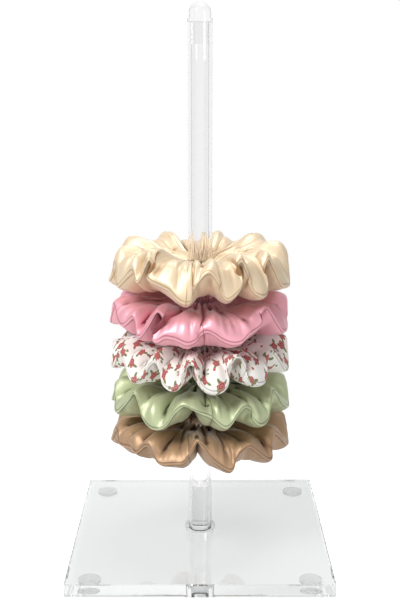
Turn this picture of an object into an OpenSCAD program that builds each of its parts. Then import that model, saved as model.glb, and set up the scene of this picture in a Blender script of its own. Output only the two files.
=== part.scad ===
// Hair tie holder: a clear acrylic post on a square base plate, with five gathered fabric hair ties
// stacked round the post. Lengths are in millimetres.
// The origin is under the middle of the base, on the surface that it stands on. +Z is up, and the
// front of the base faces -Y.

/* [Base plate] */
// Side of the square base plate
base_side = 150; // [130:1:180]
// Thickness of the base plate
base_thickness = 8; // [6:0.5:12]
// Radius of the plate's upright corners
base_corner = 1.5; // [0.5:0.1:4]
// Polished bevel along the plate's edges
edge_bevel = 0.6; // [0.2:0.1:1]

/* [Bumper feet] */
// Diameter of a bumper foot
foot_diameter = 12.7; // [9:0.1:16]
// Height of a bumper foot
foot_height = 3; // [2:0.1:5]
// Upright rim of a foot, next to the plate
foot_rim = 1.4; // [0.6:0.1:1.6]
// Diameter of the flat that touches the table
foot_contact = 7; // [4:0.1:8]
// Distance from the plate's edge to a foot's centre
foot_inset = 13; // [10:0.5:25]

/* [Post] */
// Outer diameter of the post's tube
post_diameter = 14; // [11:0.5:18]
// Wall of the post's tube
post_wall = 2; // [1.5:0.1:3]
// Length of the post's tube
post_length = 301; // [260:1:360]

/* [Top cap] */
// Thickness of the cap's flange, on the end of the tube
cap_flange = 2; // [1:0.1:4]
// Diameter of the cap's dome
cap_dome = 12.4; // [8:0.1:14]
// Straight height between the flange and the dome
cap_neck = 2.8; // [1:0.1:6]
// Length of the cap's stem, inside the tube
cap_stem = 12; // [6:0.5:25]

/* [Foot of the post] */
// Diameter of the plug let into the base plate
plug_diameter = 17; // [12:0.5:24]
// Length of the plug's spigot, up inside the tube
spigot_length = 28; // [10:1:40]
// Diameter of the collar round the tube's foot
collar_diameter = 18.5; // [18:0.5:28]
// Height of the collar
collar_height = 2.5; // [1:0.1:6]
// Rounding of the collar's upper edge
collar_round = 1.2; // [0.4:0.1:1.5]

/* [Hair ties] */
// Width across a hair tie, to the middle of its edge seam
tie_width = 104; // [90:1:112]
// Thickness of a hair tie's puffed body
tie_puff = 21; // [16:0.5:22]
// Height of a full crest of the edge seam above the hair tie's middle
ruffle_height = 10; // [6:0.5:11]
// How far a full crest of the edge seam leans in, and a dip leans out
seam_lean = 1.5; // [0.5:0.1:3]
// Thickness of the pressed edge seam
seam_thickness = 1.6; // [1:0.1:2]
// Height of the gathers where they close on the post
throat_height = 9.2; // [8.4:0.1:12]
// Height of the lowest hair tie's middle above the plate
lowest_tie = 65; // [25:1:90]
// Distance from one hair tie's middle to the next one's
tie_pitch = 24.2; // [23:0.1:26]

/* [Elastic loops] */
// Width of the flat elastic
elastic_width = 6; // [4:0.5:6.5]
// Thickness of the flat elastic
elastic_thickness = 1.2; // [0.8:0.1:1.6]
// Cloth gathered between the elastic and the post
gather_depth = 2.6; // [2:0.1:4]

/* [Clearances] */
// Gap between a hair tie's gathers and the post
grip_gap = 0.3; // [0.2:0.05:0.5]
// Gap between one hair tie and the next
tie_gap = 0.5; // [0.3:0.05:1]
// Gap round the elastic in its casing
casing_gap = 0.3; // [0.2:0.05:0.4]
// Glue line round the plug, the stem and the post's foot
bond_gap = 0.05; // [0.02:0.01:0.1]

/* [Hidden] */

$fn = 96;
plate_top = foot_height + base_thickness;
tube_top = plate_top + post_length;
bore_radius = post_diameter / 2 - post_wall;
throat_radius = post_diameter / 2 + grip_gap;
elastic_radius = throat_radius + gather_depth + elastic_thickness / 2;
foot_place = base_side / 2 - foot_inset;

// The edge seam's waves, round each hair tie. A pair is an angle, in degrees anticlockwise from
// above with 0 at the front, and how high the seam is there: 1 is a full crest and -1 a full dip.
brown_waves = [[-175, -0.8], [-155, 0.7], [-135, -0.8], [-115, 0.7], [-95, -0.7], [-75, 0.2], [-55, -0.9],
               [-35, 0.3], [-20, -0.65], [0, 0.7], [20, -0.9], [35, 0.3], [50, -0.85], [60, 0.65],
               [75, -0.5], [90, 0.4], [110, -0.8], [130, 0.7], [150, -0.7], [170, 0.8]];
green_waves = [[-170, 0.7], [-150, -0.7], [-130, 0.8], [-110, -0.7], [-90, 0.6], [-65, -0.8], [-45, 0.8],
               [-30, -1], [-10, 0.6], [15, -0.7], [30, 0.5], [40, -1], [55, 0.65], [75, -0.8],
               [95, 0.7], [115, -0.7], [135, 0.7], [155, -0.8]];
floral_waves = [[-180, 0.6], [-160, -0.7], [-140, 0.7], [-115, -0.7], [-95, 0.6], [-80, -0.6], [-60, 0.6],
                [-45, -0.9], [-30, 0.6], [-15, -0.8], [-5, 0.7], [10, -0.9], [20, 0.6], [35, -0.8],
                [50, 0.7], [65, -0.8], [85, 0.6], [105, -0.7], [125, 0.7], [150, -0.7]];
pink_waves = [[-180, 0.6], [-160, -0.7], [-140, 0.7], [-120, -0.7], [-100, 0.6], [-75, -0.8], [-50, 0.6],
              [-40, -0.8], [-30, 0.9], [-15, -0.6], [5, 0.3], [20, -0.65], [45, 1], [70, -0.7],
              [95, 0.6], [115, -0.8], [135, 0.7], [160, -0.7]];
cream_waves = [[-170, -0.7], [-150, 0.8], [-130, -0.7], [-110, 0.7], [-90, -0.5], [-75, 0.35], [-50, -0.85],
               [-35, 1.1], [-15, -0.15], [0, 0.75], [15, -0.6], [25, 1.1], [35, -0.4], [45, 1.1],
               [60, -0.5], [75, 0.3], [95, -0.6], [110, 0.7], [130, -0.7], [155, 0.8]];
tie_waves = [brown_waves, green_waves, floral_waves, pink_waves, cream_waves];
topmost = len(tie_waves) - 1;

// Shares of the way from the throat to the seam: where the body is thickest, and where its rings lie
crown_share = 0.45;
ring_shares = [0, 0.16, 0.4, 0.68, 0.89, 1];
// How fast the waves die away from the seam inwards, and how narrow a crest is beside a dip
wave_falloff = 7;
crest_narrowing = 1.5;
// How much the body is drawn in behind a fold, and how much it swells beside one
fold_pinch = 0.35;
fold_swell = 0.12;
// How square-shouldered the body is between the crown and the seam: 2 is an ellipse
shoulder = 4;
// Steps round a hair tie
tie_steps = 72;

// Height of the seam at an angle, from -1 to 1, along a smooth curve with broad dips
function wave(waves, angle) =
    let (n = len(waves),
         later = [for (i = [0 : n - 1]) if (waves[i][0] > angle) i],
         j = len(later) > 0 ? later[0] : n,
         before = waves[(j - 1 + n) % n],
         after = waves[j % n],
         start = before[0] - (j == 0 ? 360 : 0),
         end = after[0] + (j == n ? 360 : 0),
         t = (angle - start) / (end - start),
         eased = after[1] > before[1] ? pow(t, crest_narrowing) : 1 - pow(1 - t, crest_narrowing))
    before[1] + (after[1] - before[1]) * (1 - cos(180 * eased)) / 2;

// Distance of the edge seam from the post's axis
function seam_radius(k, angle) = tie_width / 2 - seam_lean * wave(tie_waves[k], angle);

// How far out a radius lies: 0 at the throat and 1 at the seam
function share_at(k, radius, angle) =
    max(0, min(1, (radius - throat_radius) / (seam_radius(k, angle) - throat_radius)));

// Height of a hair tie's middle surface, at a radius and an angle
function middle(k, radius, angle) =
    plate_top + lowest_tie + k * tie_pitch
    + ruffle_height * wave(tie_waves[k], angle) * pow(share_at(k, radius, angle), wave_falloff);

// Half the body's thickness at a share of the way out: thin in the throat, full at the crown, and
// drawn in to the seam
function half_body(share) =
    share < crown_share
    ? (throat_height + (tie_puff - throat_height) * sin(90 * share / crown_share)) / 2
    : (seam_thickness
       + (tie_puff - seam_thickness) * sqrt(1 - pow((share - crown_share) / (1 - crown_share), shoulder))) / 2;

// The surface halfway between two hair ties, where each one presses the other flat
function between(k, radius, angle) = (middle(k, radius, angle) + middle(k + 1, radius, angle)) / 2;

// A point on the upper side (side = 1) or the lower side (side = -1) of hair tie k
function tie_point(k, share, angle, side) =
    let (radius = throat_radius + share * (seam_radius(k, angle) - throat_radius),
         swing = side * wave(tie_waves[k], angle),
         fill = 1 + share * swing * (swing < 0 ? fold_pinch : fold_swell),
         free = middle(k, radius, angle) + side * half_body(share) * fill,
         z = side > 0 && k < topmost ? min(free, between(k, radius, angle) - tie_gap / 2)
           : side < 0 && k > 0 ? max(free, between(k - 1, radius, angle) + tie_gap / 2)
           : free)
    [radius * sin(angle), -radius * cos(angle), z];

// A hair tie's cloth as one closed body, with the casing that the elastic runs in. Its section has
// the upper side's rings from the throat out to the seam, then the lower side's rings back in.
module sleeve(k) {
    rings = len(ring_shares);
    section = 2 * rings;
    points = [for (i = [0 : tie_steps - 1], j = [0 : section - 1])
        let (angle = -180 + 360 * i / tie_steps)
        j < rings ? tie_point(k, ring_shares[j], angle, 1)
                  : tie_point(k, ring_shares[section - 1 - j], angle, -1)];
    corners = [for (i = [0 : tie_steps - 1], j = [0 : section - 1])
        let (next = (i + 1) % tie_steps, up = (j + 1) % section)
        [i * section + j, i * section + up, next * section + up, next * section + j]];
    difference() {
        polyhedron(points, [for (c = corners) each [[c[0], c[2], c[1]], [c[0], c[3], c[2]]]]);
        elastic_ring(k, casing_gap);
    }
}

// A flat band with round edges, standing on edge round the post, and grown by a gap for its casing
module elastic_ring(k, gap) {
    thickness = elastic_thickness + 2 * gap;
    translate([0, 0, plate_top + lowest_tie + k * tie_pitch])
        rotate_extrude()
            translate([elastic_radius, 0]) {
                square([thickness, elastic_width - elastic_thickness], center = true);
                for (end = [-1, 1])
                    translate([0, end * (elastic_width - elastic_thickness) / 2])
                        circle(d = thickness, $fn = 24);
            }
}

// The plate: a square with round corners, bevelled along every edge, and bored for the plug
module base_plate() {
    color([0.93, 0.96, 0.97, 0.45])
    translate([0, 0, foot_height])
    difference() {
        intersection() {
            linear_extrude(base_thickness) {
                square([base_side, base_side - 2 * base_corner], center = true);
                square([base_side - 2 * base_corner, base_side], center = true);
                for (x = [-1, 1], y = [-1, 1])
                    translate([x, y] * (base_side / 2 - base_corner))
                        circle(r = base_corner);
            }
            bevelled_bar(0);
            bevelled_bar(90);
        }
        translate([0, 0, -1])
            cylinder(d = plug_diameter + 2 * bond_gap, h = base_thickness + 2);
    }
}

// A bar as wide as the plate with all four long edges bevelled, lying along Y and turned about Z
module bevelled_bar(turn) {
    half = base_side / 2;
    rotate([0, 0, turn])
        translate([0, base_side, 0])
            rotate([90, 0, 0])
                linear_extrude(2 * base_side)
                    polygon([[-half, edge_bevel], [-half + edge_bevel, 0],
                             [half - edge_bevel, 0], [half, edge_bevel],
                             [half, base_thickness - edge_bevel], [half - edge_bevel, base_thickness],
                             [-half + edge_bevel, base_thickness], [-half, base_thickness - edge_bevel]]);
}

// A moulded bumper: an upright rim against the plate, a domed underside and a small flat to stand on
module bumper(x, y) {
    dome_height = foot_height - foot_rim;
    centre = (pow(foot_diameter / 2, 2) + pow(dome_height, 2) - pow(foot_contact / 2, 2)) / (2 * dome_height);
    color([0.95, 0.97, 0.97, 0.6])
    translate([x * foot_place, y * foot_place, 0])
        intersection() {
            cylinder(d = foot_diameter, h = foot_height);
            translate([0, 0, centre])
                sphere(r = norm([foot_contact / 2, centre]));
        }
}

module foot_front_left() bumper(-1, -1);
module foot_front_right() bumper(1, -1);
module foot_back_left() bumper(-1, 1);
module foot_back_right() bumper(1, 1);

// The plug fills the plate's bore, and its spigot stands up inside the tube
module foot_plug() {
    color([0.93, 0.96, 0.97, 0.5]) {
        translate([0, 0, foot_height])
            cylinder(d = plug_diameter, h = base_thickness);
        translate([0, 0, plate_top])
            cylinder(r = bore_radius - bond_gap, h = spigot_length);
    }
}

// A ring bonded on the plate round the tube's foot, with its upper edge rounded
module foot_collar() {
    outer = collar_diameter / 2;
    inner = post_diameter / 2 + bond_gap;
    color([0.93, 0.96, 0.97, 0.5])
    translate([0, 0, plate_top])
        rotate_extrude()
            difference() {
                union() {
                    translate([inner, 0])
                        square([outer - inner, collar_height - collar_round]);
                    translate([inner, 0])
                        square([outer - collar_round - inner, collar_height]);
                    translate([outer - collar_round, collar_height - collar_round])
                        circle(r = collar_round, $fn = 48);
                }
                square([inner, collar_height]);
            }
}

module post_tube() {
    color([0.93, 0.96, 0.97, 0.45])
    translate([0, 0, plate_top])
        difference() {
            cylinder(d = post_diameter, h = post_length);
            translate([0, 0, -1])
                cylinder(r = bore_radius, h = post_length + 2);
        }
}

// The cap sits on the tube's end by its flange, with a stem inside the tube and a dome on top
module top_cap() {
    color([0.93, 0.96, 0.97, 0.5])
    translate([0, 0, tube_top]) {
        translate([0, 0, -cap_stem])
            cylinder(r = bore_radius - bond_gap, h = cap_stem);
        cylinder(d = post_diameter, h = cap_flange);
        cylinder(d = cap_dome, h = cap_flange + cap_neck);
        translate([0, 0, cap_flange + cap_neck])
            intersection() {
                sphere(d = cap_dome);
                cylinder(d = cap_dome, h = cap_dome);
            }
    }
}

module brown_sleeve() color("#B98F66") sleeve(0);
module green_sleeve() color("#A9BF88") sleeve(1);
module floral_sleeve() color("#F3F0EA") sleeve(2);
module pink_sleeve() color("#E58FA2") sleeve(3);
module cream_sleeve() color("#EFDDB9") sleeve(4);

module brown_elastic() color("#E9E4DA") elastic_ring(0, 0);
module green_elastic() color("#E9E4DA") elastic_ring(1, 0);
module floral_elastic() color("#E9E4DA") elastic_ring(2, 0);
module pink_elastic() color("#E9E4DA") elastic_ring(3, 0);
module cream_elastic() color("#E9E4DA") elastic_ring(4, 0);

base_plate();
foot_front_left();
foot_front_right();
foot_back_left();
foot_back_right();
foot_plug();
foot_collar();
post_tube();
top_cap();
brown_sleeve();
brown_elastic();
green_sleeve();
green_elastic();
floral_sleeve();
floral_elastic();
pink_sleeve();
pink_elastic();
cream_sleeve();
cream_elastic();
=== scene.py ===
import math

import bmesh
import bpy
from mathutils import Matrix, Vector


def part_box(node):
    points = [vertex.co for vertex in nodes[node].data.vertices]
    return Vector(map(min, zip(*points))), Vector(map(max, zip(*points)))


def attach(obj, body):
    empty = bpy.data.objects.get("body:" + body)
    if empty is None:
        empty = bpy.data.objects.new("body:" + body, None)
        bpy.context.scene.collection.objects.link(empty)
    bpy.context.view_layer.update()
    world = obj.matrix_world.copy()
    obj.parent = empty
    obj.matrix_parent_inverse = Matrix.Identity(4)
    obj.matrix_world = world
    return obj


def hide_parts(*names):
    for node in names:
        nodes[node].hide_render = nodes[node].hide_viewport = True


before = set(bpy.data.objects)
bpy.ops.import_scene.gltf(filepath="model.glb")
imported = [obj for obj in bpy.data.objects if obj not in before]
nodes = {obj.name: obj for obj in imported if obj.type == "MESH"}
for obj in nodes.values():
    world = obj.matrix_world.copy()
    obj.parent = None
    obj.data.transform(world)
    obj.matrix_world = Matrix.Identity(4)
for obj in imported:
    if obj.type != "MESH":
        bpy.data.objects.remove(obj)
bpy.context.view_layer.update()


# Camera: a level-held product shot from the front, looking 13 degrees down. Its place was worked out
# from the base plate's four upper corners in the photograph.
scene = bpy.context.scene
camera_distance = 0.6169  # in front of the post
camera_height = 0.2961  # above the table
camera_pitch = math.radians(90 - 12.97)

camera = bpy.data.objects.new("camera", bpy.data.cameras.new("camera"))
camera.location = (0, -camera_distance, camera_height)
camera.rotation_euler = (camera_pitch, 0, 0)
camera.data.lens = 64.8
camera.data.sensor_width = 36
camera.data.clip_start = 0.01
scene.collection.objects.link(camera)
scene.camera = camera
scene.view_settings.view_transform = "Standard"
# Light goes to and fro many times in clear acrylic before it leaves by an edge.
scene.cycles.max_bounces = 40
scene.cycles.glossy_bounces = 32
scene.cycles.transmission_bounces = 32
scene.cycles.transparent_max_bounces = 40


# Studio: white paper under and behind the stand, soft lamps left, right and above, and two narrow grey
# cards at each side, which the clear acrylic needs for its dark edges.
def linear(hex_colour):
    """A colour written as sRGB hex, as linear red, green, blue and alpha."""
    values = [int(hex_colour[i:i + 2], 16) / 255 for i in (1, 3, 5)]
    return [v / 12.92 if v <= 0.04045 else ((v + 0.055) / 1.055) ** 2.4 for v in values] + [1]


def add_node(tree, kind, *values, **named):
    """Adds a node of a kind. The values go to its inputs in order. A capitalised name is an input, with _
    for a space, and any other name is a setting. A node given as a value stands for its first output."""
    node = tree.nodes.new(kind)
    inputs = dict(enumerate(values))
    for name, value in named.items():
        if name[0].isupper():
            inputs[name.replace("_", " ")] = value
        else:
            setattr(node, name, value)
    for key, value in inputs.items():
        if isinstance(value, bpy.types.Node):
            value = value.outputs[0]
        if isinstance(value, bpy.types.NodeSocket):
            tree.links.new(value, node.inputs[key])
        else:
            node.inputs[key].default_value = value
    return node


def mesh_object(name, bm):
    """The bmesh as a smooth object of that name, at the origin."""
    mesh = bpy.data.meshes.new(name)
    bm.to_mesh(mesh)
    bm.free()
    mesh.polygons.foreach_set("use_smooth", [True] * len(mesh.polygons))
    piece = bpy.data.objects.new(name, mesh)
    scene.collection.objects.link(piece)
    return piece


def new_material(name):
    """An empty material and its node tree."""
    material = bpy.data.materials.new(name)
    material.use_nodes = True
    material.node_tree.nodes.clear()
    return material, material.node_tree


def background_light(tree):
    """1 for the rays that see the background: from the camera, off gloss and through clear acrylic."""
    path = add_node(tree, "ShaderNodeLightPath").outputs
    seen = path["Is Camera Ray"]
    for ray in ("Is Glossy Ray", "Is Transmission Ray"):
        seen = add_node(tree, "ShaderNodeMath", seen, path[ray], operation="MAXIMUM")
    return seen


world = bpy.data.worlds.new("white studio")
world.use_nodes = True
scene.world = world
tree = world.node_tree
tree.nodes.clear()
sky = add_node(tree, "ShaderNodeBackground", Color=linear("#FFFFFF"), Strength=0.19)
white = add_node(tree, "ShaderNodeBackground", Color=linear("#FFFFFF"), Strength=1.0)
seen = add_node(tree, "ShaderNodeMixShader", background_light(tree), sky, white)
add_node(tree, "ShaderNodeOutputWorld", Surface=seen)

bm = bmesh.new()
bmesh.ops.create_grid(bm, x_segments=1, y_segments=1, size=4)
floor = mesh_object("floor", bm)
# Matt paper scatters light evenly. The camera sees it nearly white round the stand, with its soft
# shadows, and going over to the pure white of the background further out.
burn_start = 0.14  # metres from the post
burn_end = 0.30
material, tree = new_material("matt white paper")
paper = add_node(tree, "ShaderNodeBsdfDiffuse", Color=linear("#F4F4F4"))
thin = add_node(tree, "ShaderNodeBsdfDiffuse", Color=linear("#BCBCBC"))
lift = add_node(tree, "ShaderNodeEmission", Color=linear("#FFFFFF"), Strength=0.78)
near = add_node(tree, "ShaderNodeAddShader", thin, lift)
burnt = add_node(tree, "ShaderNodeEmission", Color=linear("#FFFFFF"), Strength=1.0)
place = add_node(tree, "ShaderNodeTexCoord").outputs["Object"]
distance = add_node(tree, "ShaderNodeVectorMath", place, operation="LENGTH").outputs["Value"]
far = add_node(tree, "ShaderNodeMapRange", Value=distance, From_Min=burn_start, From_Max=burn_end)
swept = add_node(tree, "ShaderNodeMixShader", far, near, burnt)
lit = add_node(tree, "ShaderNodeMixShader", background_light(tree), paper, swept)
add_node(tree, "ShaderNodeOutputMaterial", Surface=lit)
floor.data.materials.append(material)

# Two cards a side, so that none stands straight behind the post from the side or at 45 degrees. They
# show in gloss and through the acrylic only, as an even grey.
card_width = 0.18
card_height = 1.0
card_middle = 0.4  # above the table
card_places = {"left_back": (-0.45, 0.17), "right_back": (0.45, 0.17),
               "left_front": (-0.45, -0.21), "right_front": (0.45, -0.21)}
material, tree = new_material("grey card")
grey = add_node(tree, "ShaderNodeEmission", Color=linear("#8C8F92"), Strength=1.0)
add_node(tree, "ShaderNodeOutputMaterial", Surface=grey)
for corner, (across, depth) in card_places.items():
    bm = bmesh.new()
    place = Matrix.Translation((across, depth, card_middle))
    upright = Matrix.Rotation(math.radians(90), 4, "Y") @ Matrix.Diagonal((1, card_width, 1, 1))
    bmesh.ops.create_grid(bm, x_segments=1, y_segments=1, size=card_height / 2, matrix=place @ upright)
    card = mesh_object("grey_card_" + corner, bm)
    card.data.materials.append(material)
    for ray in ("camera", "diffuse", "shadow"):
        setattr(card, "visible_" + ray, False)

stand_middle = Vector((0, 0, 0.12))


def soft_lamp(name, place, size, watts):
    """A square softbox at a place, turned to the middle of the stand."""
    lamp = bpy.data.objects.new(name, bpy.data.lights.new(name, "AREA"))
    lamp.data.size = size
    lamp.data.energy = watts
    lamp.location = place
    lamp.rotation_euler = (stand_middle - Vector(place)).to_track_quat("-Z", "Y").to_euler()
    scene.collection.objects.link(lamp)


soft_lamp("key_lamp", (-0.55, -0.50, 0.80), 0.38, 7.9)
soft_lamp("fill_lamp", (0.75, -0.65, 0.45), 0.35, 1.5)
soft_lamp("top_lamp", (0.10, 0.10, 0.95), 0.35, 3.5)


# Base plate: a square of cast acrylic sheet, sawn, bevelled and flame-polished. It is clear all
# through, so its edges glow and its face shows only as a faint grey, deepened by painted shade in its tint.
def clear_acrylic(name, tint):
    """Clear acrylic with a slightly wavy skin, that lets lamp light through nearly unshaded."""
    material, tree = new_material(name)
    place = add_node(tree, "ShaderNodeTexCoord").outputs["Object"]
    # The skin's waves are about 18 mm long.
    waves = add_node(tree, "ShaderNodeTexNoise", Vector=place, Scale=55, Detail=1)
    skin = add_node(tree, "ShaderNodeBump", Height=waves, Strength=0.02, Distance=0.0004)
    shader = add_node(tree, "ShaderNodeBsdfPrincipled", Base_Color=linear(tint), Roughness=0.01, IOR=1.49,
                      Transmission_Weight=1, Normal=skin)
    clear = add_node(tree, "ShaderNodeBsdfTransparent", Color=linear("#F4F4F4"))
    path = add_node(tree, "ShaderNodeLightPath").outputs
    passing = add_node(tree, "ShaderNodeMath", path["Is Shadow Ray"], path["Is Diffuse Ray"],
                       operation="MAXIMUM")
    seen = add_node(tree, "ShaderNodeMixShader", passing, shader, clear)
    add_node(tree, "ShaderNodeOutputMaterial", Surface=seen)
    return material


def finish_node(name, material):
    """Gives a CAD node its finished material in place of the plain one."""
    materials = nodes[name].data.materials
    for i in range(len(materials)):
        materials[i] = material
    if not materials:
        materials.append(material)


# Cast acrylic bends light less than glass, has no colour of its own and takes a high polish. The plate's
# grey tint, greyer than the tube's, is painted shade.
finish_node("base_plate", clear_acrylic("polished cast acrylic", "#DCDEDE"))


# Bumper feet: clear moulded polyurethane domes with an adhesive back, pressed on under the corners
# of the plate. They are softer and a little hazier than the acrylic.
def bonded_clear(name, colour, alpha, roughness):
    """A clear piece that lies against another: light passes it straight, since no air parts the two, but
    bends away at its rim, which shows as a darker line."""
    material, tree = new_material(name)
    facing = add_node(tree, "ShaderNodeLayerWeight", Blend=0.5).outputs["Facing"]
    rim = add_node(tree, "ShaderNodeMapRange", Value=facing, From_Min=0.35, From_Max=0.95, To_Min=alpha,
                   To_Max=0.75)
    shader = add_node(tree, "ShaderNodeBsdfPrincipled", Base_Color=linear(colour), Roughness=roughness,
                      IOR=1.5, Coat_Weight=1, Coat_Roughness=0.03, Alpha=rim)
    add_node(tree, "ShaderNodeOutputMaterial", Surface=shader)
    return material


# Moulded polyurethane is clear with a faint haze, because its skin isn't polished.
urethane = bonded_clear("moulded clear polyurethane", "#CACACA", 0.18, 0.08)
for name in ("foot_front_left", "foot_front_right", "foot_back_left", "foot_back_right"):
    finish_node(name, urethane)


# Post: an extruded acrylic tube, bonded over the spigot of a plug in the plate, with a collar round
# its foot and a turned cap in its end.
# Extruded acrylic has the same clearness, with faint draw lines too fine to show.
clear_tube = clear_acrylic("polished extruded acrylic", "#F8F8F8")
for name in ("foot_plug", "post_tube", "top_cap"):
    finish_node(name, clear_tube)
# Turned acrylic is polished after the cut, and only its rim shows against the plate and the tube.
finish_node("foot_collar", bonded_clear("turned acrylic ring", "#C9CBCC", 0.10, 0.03))


# Sleeves of the hair ties: a strip of satin or cotton sewn into a tube, turned, joined end to end
# and gathered by its elastic, so the cloth flares from the post into puffed lobes, and the pressed
# edge runs up and down between crests and dips. The cloth is simulated from its flat tube.
# The edge passes through these points: angle in degrees, anticlockwise from above with 0 at the
# front, and height in millimetres over the middle of the tie.
edge_points = {
    "brown": [(-179, -3), (-173, -7), (-165, -8), (-158, -3), (-153, 4), (-148, 6), (-142, 1), (-137, -6),
              (-129, -8), (-121, -5), (-116, 2), (-111, 6), (-106, 3), (-101, -4), (-94, -8), (-86, -7),
              (-80, -1), (-75, 4), (-70, 2), (-65, -3), (-52, -2), (-45, -3), (-39, 3), (-34, 2),
              (-30, -4), (-26, -6), (-19, -5), (-12, -4), (-8, 1), (-2, 7), (3, 5), (7, 0), (13, -5),
              (20, -9), (23, -7), (25, -3), (28, 1), (34, 4), (39, 0), (45, -6), (50, -9), (53, -6),
              (56, 3), (61, 5), (68, 0), (75, -6), (82, -8), (88, -3), (92, 4), (97, 6), (102, 1),
              (106, -5), (113, -8), (121, -7), (127, -1), (131, 5), (136, 7), (141, 2), (145, -5),
              (152, -8), (160, -6), (165, 1), (170, 6), (175, 4)],
    "green": [(-180, -1), (-175, -7), (-167, -8), (-161, -3), (-156, 4), (-150, 7), (-145, 3), (-140, -4),
              (-133, -8), (-125, -7), (-120, 0), (-115, 6), (-109, 4), (-104, -3), (-98, -8), (-90, -7),
              (-85, -1), (-81, 4), (-77, 2), (-72, -6), (-66, -8), (-57, -2), (-52, 4), (-48, 8), (-45, 6),
              (-42, 0), (-38, -5), (-31, -9), (-24, -8), (-20, -4), (-16, 2), (-11, 5), (-5, 3), (1, 1),
              (7, -1), (11, -4), (16, -7), (20, -5), (24, 0), (29, 4), (33, 2), (35, -4), (39, -9),
              (44, -9), (49, -5), (52, 2), (55, 7), (60, 5), (66, -2), (74, -7), (81, -8), (87, -2),
              (91, 4), (96, 6), (101, 2), (105, -4), (111, -8), (119, -7), (124, -1), (128, 4), (134, 5),
              (139, 0), (144, -6), (151, -9), (158, -6), (163, 1), (168, 6), (174, 5)],
    "floral": [(-175, -8), (-169, -3), (-164, 4), (-158, 7), (-153, 2), (-148, -5), (-141, -8), (-133, -6),
               (-128, 1), (-123, 6), (-117, 5), (-112, -2), (-106, -8), (-98, -8), (-93, -2), (-88, 5),
               (-83, 4), (-79, -3), (-74, -7), (-70, -2), (-66, 4), (-60, 3), (-54, -3), (-46, -9),
               (-38, -5), (-34, 2), (-30, 5), (-27, 1), (-24, -7), (-18, -10), (-13, -7), (-10, 0),
               (-6, 4), (-2, 1), (1, -7), (7, -11), (14, -10), (18, -5), (19, 3), (22, 9), (26, 9),
               (29, 4), (31, -3), (36, -8), (43, -9), (48, -3), (51, 5), (56, 7), (62, 1), (69, -7),
               (75, -8), (80, -2), (84, 5), (89, 7), (94, 3), (98, -4), (105, -8), (113, -7), (118, -1),
               (122, 5), (128, 7), (133, 2), (137, -5), (144, -9), (151, -7), (156, 0), (161, 6), (167, 5),
               (172, -1), (177, -7)],
    "pink": [(-180, -6), (-172, -9), (-164, -7), (-159, 0), (-154, 6), (-148, 5), (-143, -2), (-137, -8),
             (-129, -8), (-124, -2), (-119, 5), (-113, 7), (-108, 1), (-103, -6), (-96, -9), (-88, -6),
             (-83, 1), (-78, 6), (-72, 4), (-66, -1), (-58, -3), (-50, 3), (-46, 2), (-43, -5), (-40, -6),
             (-35, 0), (-30, 8), (-27, 10), (-25, 5), (-28, -2), (-29, -8), (-25, -9), (-21, -6),
             (-14, -6), (-7, -8), (-2, -6), (2, -2), (5, 0), (10, -2), (14, -5), (20, -8), (26, -8),
             (32, -4), (38, -2), (42, 1), (44, 7), (48, 10), (52, 5), (57, -2), (64, -8), (73, -7),
             (79, -3), (84, 4), (90, 7), (95, 3), (99, -4), (106, -8), (114, -8), (119, -2), (123, 5),
             (129, 7), (135, 2), (139, -5), (146, -9), (154, -7), (159, 0), (164, 6), (170, 6), (175, 0)],
    "cream": [(-178, -6), (-170, -8), (-163, -6), (-158, 2), (-153, 8), (-147, 7), (-142, 0), (-136, -7),
              (-128, -8), (-122, -3), (-117, 5), (-111, 8), (-106, 3), (-101, -5), (-94, -8), (-86, -6),
              (-81, 1), (-76, 5), (-70, 2), (-65, -4), (-61, -5), (-53, 2), (-47, 5), (-43, 0), (-40, 2),
              (-38, 9), (-35, 13), (-34, 5), (-37, 1), (-32, -1), (-26, -2), (-19, -4), (-13, -8),
              (-8, -10), (-4, -8), (-2, -2), (1, 5), (6, 8), (10, 3), (12, -4), (15, -8), (20, -6),
              (25, -2), (27, 3), (25, 10), (28, 13), (31, 7), (33, -3), (38, -8), (43, -8), (47, -1),
              (48, 8), (51, 12), (55, 6), (61, -4), (69, -6), (75, -7), (80, -1), (85, 6), (91, 8),
              (96, 3), (101, -4), (108, -8), (115, -7), (120, 0), (125, 7), (131, 8), (136, 1), (141, -6),
              (149, -8), (156, -6), (161, 2), (166, 8), (172, 7), (177, 0)],
}
ties = list(edge_points)

throat_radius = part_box("post_tube")[1].x + 0.0003  # the cloth lies close round the post
edge_radius = 0.052
edge_lean = 0.0015  # how far a crest leans in and a dip leans out
full_height = 0.011  # of a full crest or dip over the middle
columns = 300  # round the tie
rows = 18  # from the throat to the edge, on each side
tube_half = 0.048  # width of one side of the sewn tube, laid flat
elastic_radii = (0.0094, 0.0116)  # between these the cloth goes over and under the elastic,
elastic_half = 0.0036  # at this height from the middle of the tie

# Sections of one side of the cloth, from the edge in to the throat: share of the way out, and height
# in metres. The near side lies towards the edge where that is at a full crest or dip. The far side
# bulges out over a dip as a lobe, and under a crest it is drawn in to a scoop.
near_section = [(1.00, 0.0110), (0.99, 0.0120), (0.93, 0.0128), (0.82, 0.0132), (0.62, 0.0118),
                (0.36, 0.0080), (0.15, 0.0048), (0.00, 0.0036)]
far_sections = {
    1: [(1.00, -0.0110), (1.01, -0.0088), (0.99, -0.0045), (0.94, 0.0006), (0.82, 0.0042),
        (0.60, 0.0052), (0.30, 0.0046), (0.00, 0.0036)],
    -1: [(1.00, -0.0110), (0.94, -0.0085), (0.88, -0.0035), (0.83, 0.0012), (0.74, 0.0052),
         (0.56, 0.0062), (0.30, 0.0050), (0.00, 0.0036)],
}
pinches = {"brown": -2, "green": -5, "floral": -8}  # angle where the elastic draws the underside up
pinch_height = 0.009
pinch_width = 5  # degrees
join_angles = {"brown": -9, "green": 8, "floral": 150, "pink": 3, "cream": -7}
join_depth = 0.0016  # of the groove at these angles, where the tube's ends are sewn together
join_width = 1.3  # degrees
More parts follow.
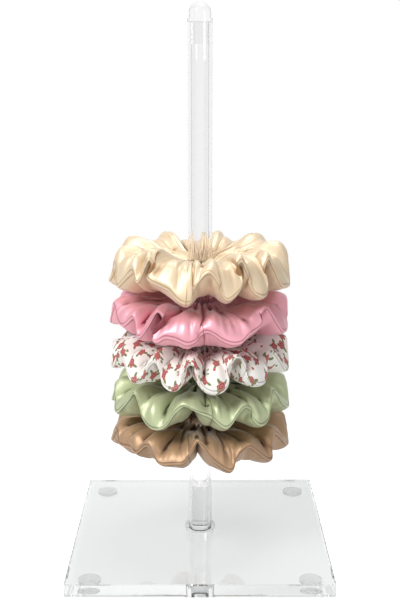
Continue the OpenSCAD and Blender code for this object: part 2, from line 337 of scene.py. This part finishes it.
# Sharp folds round the tie: how many, depth of the deepest in metres, and width in degrees.
folds = ((15, 0.0048, 5.5), (24, 0.0040, 3.2), (37, 0.0020, 1.8))
pleats = 32  # fine gathers round the throat
pleat_depth = 0.0028
free_puff = 0.0055  # how much higher the top tie stands, with nothing on it

middles = {}
for tie in ties:
    low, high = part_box(tie + "_elastic")
    middles[tie] = (low.z + high.z) / 2


def along(points, share):
    """The point at a share of the way along a smooth curve through the points."""
    place = share * (len(points) - 1)
    i = min(int(place), len(points) - 2)
    t = place - i
    four = points[max(i - 1, 0)], points[i], points[i + 1], points[min(i + 2, len(points) - 1)]
    return [0.5 * (2 * b + (c - a) * t + (2 * a - 5 * b + 4 * c - d) * t ** 2
                   + (3 * b - a - 3 * c + d) * t ** 3) for a, b, c, d in zip(*four)]


def evenly(points, count, distance):
    """The points that cut a line through the given points into count equal lengths, and its length."""
    reached = [0]
    for a, b in zip(points, points[1:]):
        reached.append(reached[-1] + distance(a, b))
    cut, j = [], 0
    for i in range(count + 1):
        goal = reached[-1] * i / count
        while j < len(reached) - 2 and reached[j + 1] < goal:
            j += 1
        t = (goal - reached[j]) / max(reached[j + 1] - reached[j], 1e-9)
        cut.append([a + (b - a) * t for a, b in zip(points[j], points[j + 1])])
    return cut, reached[-1]


def edge_course(tie):
    """The edge as angle and height at each column, evenly spaced along the cloth, and its length."""
    points = [(angle, height / 1000) for angle, height in edge_points[tie]]
    looped = [(angle + turn, height) for turn in (-360, 0, 360) for angle, height in points]
    n = len(points)
    fine = [along(looped, (n + i / 8) / (len(looped) - 1)) for i in range(8 * n + 1)]
    return evenly(fine, columns, lambda a, b: math.hypot(math.radians(b[0] - a[0]) * edge_radius,
                                                         b[1] - a[1]))


courses, lengths = {}, {}
for tie in ties:
    courses[tie], lengths[tie] = edge_course(tie)


def edge_height(tie, angle):
    """Mean height of the edge of a tie within a few degrees of an angle."""
    near = [point[1] for point in courses[tie] if abs((point[0] - angle + 180) % 360 - 180) < 4]
    return sum(near) / max(len(near), 1)


edge_heights = {tie: [edge_height(tie, angle) for angle in range(360)] for tie in ties}


def section(height, side):
    """One side's section, row by row from the edge to the throat: radius, height and outward direction."""
    crest = (side * height / full_height + 1) / 2
    reach = edge_radius - edge_lean * height / full_height - throat_radius
    line = []
    for i in range(41):
        near, far = along(near_section, i / 40), along(far_sections[side], i / 40)
        share = crest * near[0] + (1 - crest) * far[0]
        line.append((throat_radius + share * reach, side * (crest * near[1] + (1 - crest) * far[1])))
    line = evenly(line, rows, lambda a, b: math.hypot(a[0] - b[0], a[1] - b[1]))[0]
    placed = []
    for i, (radius, z) in enumerate(line):
        before, after = line[max(i - 1, 0)], line[min(i + 1, rows)]
        step = Vector((after[0] - before[0], after[1] - before[1])).normalized() * side
        placed.append((radius, z, step.y, -step.x))
    return placed


def creases(angle, side):
    """Depth of the sharp folds that run from the throat towards the edge, at an angle in degrees."""
    depth = 0
    for count, deepest, width in folds:
        for n in range(count):
            middle = 360 * n / count + 4 * math.sin(37.7 * n + side)
            off = (angle - middle + 180) % 360 - 180
            depth += deepest * (0.6 + 0.4 * math.sin(12.9 * n + 2 * side)) * math.exp(-(off / width) ** 2)
    return depth


def window(share, start, full, fading, end):
    """0 up to start, 1 from full to fading, and 0 from end on."""
    return max(0, min((share - start) / (full - start), 1, (end - share) / (end - fading)))


sim_scale = 10  # the cloth solver is at its best on lengths of about a metre
ring_middle = 1.5  # radius of the plain ring whose angles number the columns and rows


def gathered_sleeve(tie):
    """The sleeve before it settles, with its columns and rows kept as attributes."""
    bm = bmesh.new()
    column_of = bm.verts.layers.int.new("column")
    row_of = bm.verts.layers.int.new("row")
    turns = [math.pi * j / rows for j in range(1 - rows, rows + 1)]
    ring = [bm.verts.new((ring_middle + math.cos(turn) / 2, 0, math.sin(turn) / 2)) for turn in turns]
    sides = [bm.edges.new((a, b)) for a, b in zip(ring, ring[1:] + ring[:1])]
    bmesh.ops.spin(bm, geom=ring + sides, cent=(0, 0, 0), axis=(0, 0, 1), angle=2 * math.pi,
                   steps=columns, use_merge=True)
    course = courses[tie]
    span = columns // 16
    steady = [sum(course[(i + k) % columns][0] + 360 * ((i + k) // columns) for k in range(-span, span + 1))
              / (2 * span + 1) for i in range(columns)]
    sections = {}
    for v in bm.verts:
        column = round(math.atan2(v.co.y, v.co.x) / (2 * math.pi) * columns) % columns
        row = round(math.atan2(v.co.z, math.hypot(v.co.x, v.co.y) - ring_middle) / math.pi * rows)
        side = 1 if row >= 0 else -1
        angle, height = course[column]
        if (column, side) not in sections:
            sections[column, side] = section(height, side)
        radius, z, out, up = sections[column, side][abs(row)]
        share = max(0, (radius - throat_radius) / (edge_radius - throat_radius))
        depth = creases(steady[column], side) * window(abs(row) / rows, 0.02, 0.2, 0.62, 0.85)
        join = math.exp(-((steady[column] - join_angles[tie]) / join_width) ** 2)
        depth += join_depth * join * window(share, 0.2, 0.5, 0.98, 1.0)
        gathers = math.exp(-((share - 0.18) / 0.17) ** 2)
        depth += pleat_depth * math.sin(pleats * math.radians(angle)) * gathers
        radius, z = max(throat_radius, radius - depth * out), z - depth * up
        if tie in pinches and side < 0:
            pinch = math.exp(-((steady[column] - pinches[tie]) / pinch_width) ** 2)
            z += pinch_height * pinch * window(share, 0.1, 0.4, 0.9, 1.0)
        if tie == ties[-1] and side > 0:
            z += free_puff * window(share, 0.2, 0.65, 0.85, 1.0)
        turn = math.radians(steady[column] + (angle - steady[column]) * share ** 3)
        v.co = Vector((radius * math.sin(turn), -radius * math.cos(turn), z)) * sim_scale
        v[column_of], v[row_of] = column, row
    if bm.calc_volume(signed=True) < 0:
        bmesh.ops.reverse_faces(bm, faces=bm.faces)
    return mesh_object(tie + "_cloth", bm)


flat_radius = 0.038  # the flat tube lies as a ring with this radius inside
flat_gap = 0.0001  # keeps its two layers apart


def add_cloth(sleeve, length):
    """Sets the sleeve up as cloth: held at the throat and along the edge, and a little puffed."""
    held = sleeve.vertex_groups.new(name="held")
    sleeve.shape_key_add(name="gathered")
    flat = sleeve.shape_key_add(name="flat tube")
    mesh = sleeve.data
    column_of = mesh.attributes["column"].data
    row_of = mesh.attributes["row"].data
    for v in mesh.vertices:
        row = row_of[v.index].value
        turn = 2 * math.pi * column_of[v.index].value / columns
        out = tube_half * (1 - abs(row) / rows)
        radius = min(length / (2 * math.pi), flat_radius + out)
        z = max(0, flat_radius + out - length / (2 * math.pi)) + math.copysign(flat_gap, row)
        flat.data[v.index].co = Vector((radius * math.sin(turn), -radius * math.cos(turn), z)) * sim_scale
        held.add([v.index], {0: 1.0, rows: 1.0}.get(abs(row), 0.01), "REPLACE")
    cloth = sleeve.modifiers.new("Cloth", "CLOTH")
    cloth.settings.quality = 5
    cloth.settings.mass = 0.3
    cloth.settings.tension_stiffness = 40
    cloth.settings.compression_stiffness = 40
    cloth.settings.shear_stiffness = 5
    cloth.settings.bending_stiffness = 0.2
    cloth.settings.use_pressure = True
    cloth.settings.uniform_pressure_force = 1.5
    cloth.settings.vertex_group_mass = "held"
    cloth.settings.pin_stiffness = 1
    cloth.settings.rest_shape_key = flat
    cloth.settings.effector_weights.gravity = 0
    cloth.collision_settings.use_collision = False


tie_gap = 0.0006  # left between neighbours
contact_ease = 0.0025  # over which the cloth flattens against a neighbour


def eased_below(value, limit, ease):
    """The value, bent smoothly so that it stays below the limit."""
    over = value - (limit - ease)
    return value if over <= 0 else limit - ease * math.exp(-over / ease)


def settle(tie, sleeve):
    """Puts the settled cloth in its place on the post, over its elastic and against its neighbours."""
    k = ties.index(tie)
    above = ties[k + 1] if k + 1 < len(ties) else None
    below = ties[k - 1] if k > 0 else None
    for v in sleeve.data.vertices:
        co = v.co / sim_scale
        radius = math.hypot(co.x, co.y)
        if radius < throat_radius:
            co.x, co.y = co.x * throat_radius / radius, co.y * throat_radius / radius
        if elastic_radii[0] < radius < elastic_radii[1] and abs(co.z) < elastic_half:
            co.z = math.copysign(elastic_half, co.z)
        angle = math.degrees(math.atan2(co.x, -co.y))
        share = min(1, (radius - throat_radius) / (edge_radius - throat_radius))
        here = round(angle) % 360
        wave = edge_heights[tie][here] * share ** 3 / 2
        if above:
            limit = (middles[above] - middles[tie]) / 2 + wave
            limit += edge_heights[above][here] * share ** 3 / 2
            co.z = eased_below(co.z, limit - tie_gap / 2, contact_ease)
        if below:
            limit = (middles[below] - middles[tie]) / 2 + wave
            limit += edge_heights[below][here] * share ** 3 / 2
            co.z = -eased_below(-co.z, -limit - tie_gap / 2, contact_ease)
        v.co = co + Vector((0, 0, middles[tie]))


# Painted shade in the folds: how deep a place lies under the smoothed cloth, at two scales, sets how dark
# it is painted.
fold_shade_depths = ((5, 0.0009), (35, 0.0015))  # rounds of smoothing, and depth under it that has full shade
band_half = 0.0012  # of the pressed edge
band_rise = 0.0007


def press_edge(sleeve, length):
    """Maps the cloth in metres, notes how deep in a fold each place lies for the painted shade in the
    folds, and flattens the outer edge to the narrow, crisp band that pressing leaves."""
    bm = bmesh.new()
    bm.from_mesh(sleeve.data)
    row_of = bm.verts.layers.int["row"]
    column_of = bm.verts.layers.int["column"]
    cloth_uv = bm.loops.layers.uv.new("cloth")
    for face in bm.faces:
        around = [v[column_of] for v in face.verts]
        wraps = min(around) == 0 and max(around) == columns - 1
        inner = any(v[row_of] < 0 for v in face.verts)
        for loop in face.loops:
            column, row = loop.vert[column_of], loop.vert[row_of]
            if wraps and column == 0:
                column = columns
            if inner and row == rows:
                row = -rows
            loop[cloth_uv].uv = (column / columns * length, row / rows * tube_half)
    # Painted shade: each place gets a share of shade by how far it lies below the smoothed cloth.
    fold_shade = bm.verts.layers.float.new("fold_shade")
    smoothed = bm.copy()
    for rounds, depth in fold_shade_depths:
        for turn in range(rounds):
            bmesh.ops.smooth_vert(smoothed, verts=smoothed.verts, factor=0.5,
                                  use_axis_x=True, use_axis_y=True, use_axis_z=True)
        for v, even in zip(bm.verts, smoothed.verts):
            v[fold_shade] += max(0, (even.co - v.co).dot(v.normal)) / depth
    smoothed.free()
    crease = bm.edges.layers.float.new("crease_edge")
    edge = [e for e in bm.edges if all(v[row_of] == 0 for v in e.verts)]
    for e in bm.edges:
        if all(v[row_of] == rows for v in e.verts):
            e[crease] = 1  # the elastic draws the throat tight
    band = bmesh.ops.bevel(bm, geom=edge, affect="EDGES", offset=band_half, segments=2, profile=0.5,
                           material=-1)["faces"]
    faces = set(band)
    for face in band:
        for e in face.edges:
            inside = sum(f in faces for f in e.link_faces)
            if inside == 1:
                e[crease] = 0.6
    ridge = {v for face in band for v in face.verts if all(f in faces for f in v.link_faces)}
    for v in ridge:
        v.co += v.normal * band_rise
    bm.to_mesh(sleeve.data)
    bm.free()


sim_frames = 14  # the folds have formed by then

sleeves = {tie: gathered_sleeve(tie) for tie in ties}
for tie, sleeve in sleeves.items():
    add_cloth(sleeve, lengths[tie])
for step in range(1, sim_frames + 1):
    scene.frame_set(step)
for sleeve in sleeves.values():
    depsgraph = bpy.context.evaluated_depsgraph_get()
    settled = bpy.data.meshes.new_from_object(sleeve.evaluated_get(depsgraph))
    sleeve.modifiers.clear()
    sleeve.shape_key_clear()
    sleeve.data = settled
    sleeve.vertex_groups.clear()
scene.frame_set(1)


def painted(tree, under, size, edge, feather, colour, strength=1):
    """The colour under, with another painted on where a size is below an edge, soft over the feather."""
    share = add_node(tree, "ShaderNodeMapRange", Value=size, From_Min=edge, From_Max=edge + feather,
                     To_Min=strength, To_Max=0)
    return add_node(tree, "ShaderNodeMix", data_type="RGBA", Factor=share, A=under, B=colour).outputs[2]


def from_centre(tree, place, angle, offset, stretch):
    """Distance from a point at an offset from the centre, after a turn, in units of the stretch."""
    turned = add_node(tree, "ShaderNodeVectorRotate", rotation_type="Z_AXIS", Vector=place, Angle=angle)
    moved = add_node(tree, "ShaderNodeMapping", vector_type="TEXTURE", Vector=turned, Location=offset,
                     Scale=stretch)
    return add_node(tree, "ShaderNodeVectorMath", moved, operation="LENGTH").outputs["Value"]


def rose_print(tree, place, cloth):
    """A small sprig print: roses with a turned heart and three leaves, and buds strewn between them."""
    # Sprigs about 10 mm apart, each turned by chance, with leaves that waver every 1.4 mm.
    wobble = add_node(tree, "ShaderNodeTexNoise", Vector=place, Scale=700, Detail=1)
    sprig = add_node(tree, "ShaderNodeTexVoronoi", voronoi_dimensions="2D", Vector=place, Scale=95,
                     Randomness=0.7)
    local = add_node(tree, "ShaderNodeVectorMath", place, sprig.outputs["Position"], operation="SUBTRACT")
    chance = add_node(tree, "ShaderNodeSeparateColor", Color=sprig.outputs["Color"])
    turn = add_node(tree, "ShaderNodeMath", chance, 2 * math.pi, operation="MULTIPLY")
    turned = add_node(tree, "ShaderNodeVectorRotate", rotation_type="Z_AXIS", Vector=local, Angle=turn)
    # Three leaves, about 3 by 1.5 mm, with their middles 3.1 mm from the heart.
    colour = cloth
    rough = add_node(tree, "ShaderNodeMath", wobble, 0.5, operation="MULTIPLY")
    green = add_node(tree, "ShaderNodeMix", data_type="RGBA", Factor=wobble, A=linear("#525E2C"),
                     B=linear("#8D9862")).outputs[2]
    for angle in (0.3, 2.5, 4.2):
        leaf = from_centre(tree, turned, angle, (0.0031, 0, 0), (0.0016, 0.0008, 1))
        leaf = add_node(tree, "ShaderNodeMath", leaf, rough, operation="ADD")
        colour = painted(tree, colour, leaf, 1.15, 0.15, green)
    # A rose 4.6 mm across, with five petals and a spiral of lighter and darker red.
    radius = from_centre(tree, turned, 0, (0, 0, 0), (0.0024, 0.0024, 1))
    parts = add_node(tree, "ShaderNodeSeparateXYZ", Vector=turned)
    bearing = add_node(tree, "ShaderNodeMath", parts.outputs["Y"], parts.outputs["X"], operation="ARCTAN2")
    petals = add_node(tree, "ShaderNodeMath", bearing, 5, operation="MULTIPLY")
    petals = add_node(tree, "ShaderNodeMath", petals, operation="SINE")
    petals = add_node(tree, "ShaderNodeMath", petals, 0.1, operation="MULTIPLY")
    petals = add_node(tree, "ShaderNodeMath", radius, petals, operation="ADD")
    heart = add_node(tree, "ShaderNodeMath", radius, 13, operation="MULTIPLY")
    heart = add_node(tree, "ShaderNodeMath", bearing, heart, operation="ADD")
    heart = add_node(tree, "ShaderNodeMath", heart, operation="SINE")
    red = painted(tree, linear("#D0827A"), heart, -0.2, 0.5, linear("#9A3538"))
    colour = painted(tree, colour, petals, 0.95, 0.1, red)
    # A place for a bud every 4.3 mm or so, with a green or red bud at three in ten of them.
    bud = add_node(tree, "ShaderNodeTexVoronoi", voronoi_dimensions="2D", Vector=place, Scale=230,
                   Randomness=0.9)
    kind = add_node(tree, "ShaderNodeSeparateColor", Color=bud.outputs["Color"])
    picked = add_node(tree, "ShaderNodeMath", kind.outputs[0], 0.3, operation="LESS_THAN")
    redder = add_node(tree, "ShaderNodeMath", kind.outputs[1], 0.5, operation="GREATER_THAN")
    strewn = add_node(tree, "ShaderNodeMix", data_type="RGBA", Factor=redder, A=linear("#7C8A4C"),
                      B=linear("#C4605C")).outputs[2]
    return painted(tree, colour, bud.outputs["Distance"], 0.18, 0.05, strewn, picked)


def cloth_material(name, colours, weave, gloss, metallic, join, print_on=None):
    """A woven cloth mapped in metres, with its weave, fine wrinkles, sewn join, and painted shade in its
    folds.
    """
    colour, shade_and_seam_colour = (linear(hex_colour) for hex_colour in colours)
    material, tree = new_material(name)
    place = add_node(tree, "ShaderNodeUVMap", uv_map="cloth").outputs["UV"]
    parts = add_node(tree, "ShaderNodeSeparateXYZ", Vector=place)
    # Wrinkles about 6 mm apart that run 22 mm from the throat to the edge.
    stretched = add_node(tree, "ShaderNodeMapping", Vector=place, Scale=(170, 45, 1))
    wrinkles = add_node(tree, "ShaderNodeTexNoise", Vector=stretched, Scale=1, Detail=2)
    threads = add_node(tree, "ShaderNodeMapping", Vector=place, Scale=weave)
    floats = add_node(tree, "ShaderNodeTexNoise", Vector=threads, Scale=1, Detail=1)
    rumpled = add_node(tree, "ShaderNodeBump", Height=wrinkles, Strength=1, Distance=0.0008)
    woven = add_node(tree, "ShaderNodeBump", Height=floats, Normal=rumpled, Strength=0.5, Distance=0.0001)
    base = print_on(tree, place, colour) if print_on else colour
    # Painted shade: the colour goes over to the shade colour the deeper the place lies in a fold.
    fold_shade = add_node(tree, "ShaderNodeAttribute", attribute_name="fold_shade").outputs["Fac"]
    fold_shade_share = add_node(tree, "ShaderNodeMapRange", Value=fold_shade, From_Min=0, From_Max=1, To_Max=0.9)
    base = add_node(tree, "ShaderNodeMix", data_type="RGBA", Factor=fold_shade_share, A=base, B=shade_and_seam_colour).outputs[2]
    # A darker line, 0.7 mm wide: painted shade along both sides of the pressed edge, and the dark seam at
    # the sewn join.
    edge = add_node(tree, "ShaderNodeMath", parts.outputs["Y"], operation="ABSOLUTE")
    edge = add_node(tree, "ShaderNodeMath", edge, band_half, operation="SUBTRACT")
    edge = add_node(tree, "ShaderNodeMath", edge, operation="ABSOLUTE")
    join = add_node(tree, "ShaderNodeMath", parts.outputs["X"], join, operation="SUBTRACT")
    join = add_node(tree, "ShaderNodeMath", join, operation="ABSOLUTE")
    line = add_node(tree, "ShaderNodeMath", edge, join, operation="MINIMUM")
    base = painted(tree, base, line, 0.0002, 0.0003, shade_and_seam_colour, 0.6)
    tangent = add_node(tree, "ShaderNodeTangent", direction_type="UV_MAP", uv_map="cloth")
    shader = add_node(tree, "ShaderNodeBsdfPrincipled", Base_Color=base, Metallic=metallic,
                      Roughness=gloss, Sheen_Weight=0.25, Anisotropic=0.5 if metallic else 0,
                      Normal=woven, Tangent=tangent)
    add_node(tree, "ShaderNodeOutputMaterial", Surface=shader)
    return material


# Satin's long floats throw a bright sheen across each fold, and painted shade, deep in colour, fills its
# folds. Poplin is matt. Each cloth has its colour in the open and the colour of its painted shade deep in a
# fold.
cloth_colours = {
    "brown": ("#B38F6D", "#2E1606"),
    "green": ("#BAC39A", "#2C3414"),
    "floral": ("#FBF8F2", "#A09486"),
    "pink": ("#EFAAB7", "#7E1428"),
    "cream": ("#E0CAAA", "#9C6C38"),
}
# Threads to the metre along and across the cloth. Poplin's are 0.33 mm apart, and satin's floats are
# 1.1 mm long and 0.2 mm apart. The real ones, about half of that, are too fine to show.
poplin_weave = (3000, 3000, 1)
satin_weave = (900, 5000, 1)
wall_thickness = 0.0003
for tie, sleeve in sleeves.items():
    settle(tie, sleeve)
    press_edge(sleeve, lengths[tie])
    course = courses[tie]
    sewn_at = min(range(columns), key=lambda i: abs(course[i][0] - join_angles[tie]))
    join = sewn_at / columns * lengths[tie]
    colours = cloth_colours[tie]
    if tie == "floral":
        material = cloth_material("cotton poplin print", colours, poplin_weave, 0.75, 0, join, rose_print)
    else:
        material = cloth_material(tie + " satin weave polyester", colours, satin_weave, 0.40, 0.3, join)
    sleeve.data.materials.append(material)
    smooth = sleeve.modifiers.new("Subdivision", "SUBSURF")
    smooth.levels = smooth.render_levels = 1
    wall = sleeve.modifiers.new("Solidify", "SOLIDIFY")
    wall.thickness = wall_thickness
    wall.offset = -1
    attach(sleeve, tie + "_tie")
    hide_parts(tie + "_sleeve")


# Elastics: a flat loop of knitted elastic that lies in each sleeve round the post.
# Knit over rubber is matt and off-white, with rows of small stitches, 0.7 mm apart.
material, tree = new_material("knitted elastic")
place = add_node(tree, "ShaderNodeTexCoord").outputs["Object"]
stitches = add_node(tree, "ShaderNodeTexVoronoi", Vector=place, Scale=1400)
knit = add_node(tree, "ShaderNodeBump", Height=stitches, Strength=0.6, Distance=0.0002)
shader = add_node(tree, "ShaderNodeBsdfPrincipled", Base_Color=linear("#DAD6CC"), Roughness=0.85,
                  Normal=knit)
add_node(tree, "ShaderNodeOutputMaterial", Surface=shader)
for tie in ties:
    finish_node(tie + "_elastic", material)
